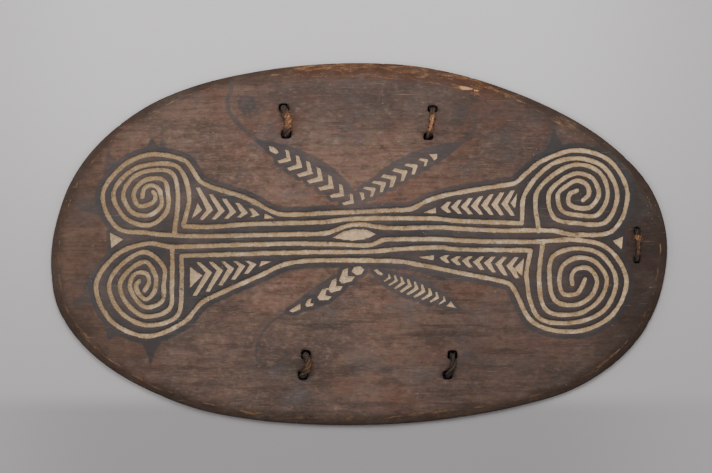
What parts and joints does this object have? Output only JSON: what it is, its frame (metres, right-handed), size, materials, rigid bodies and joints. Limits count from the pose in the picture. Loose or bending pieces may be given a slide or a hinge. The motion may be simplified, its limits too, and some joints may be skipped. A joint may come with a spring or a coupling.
{
  "type": "carved wooden shield",
  "caption": "Long oval board shield of carved wood, gently domed and hollow behind, with grooved spirals and chevrons on its face and fibre ties through drilled holes.",
  "frame": {"origin": "on the surface that the shield lies on, under the middle of the board", "axes": "+X along the board, towards the end with the fifth tie; +Y across it; +Z out of the carved face"},
  "size_m": [1, 0.588, 0.0436],
  "materials": {
    "wood": "dark stained, worn, with lime-filled grooves and charcoal ridges",
    "fibre": "twisted plant fibre, worn and dusty"
  },
  "bodies": {
    "root": {"board": "wood", "tie_upper_left": "fibre", "tie_upper_right": "fibre", "tie_lower_left": "fibre", "tie_lower_right": "fibre", "tie_end": "fibre"}
  },
  "joints": []
}
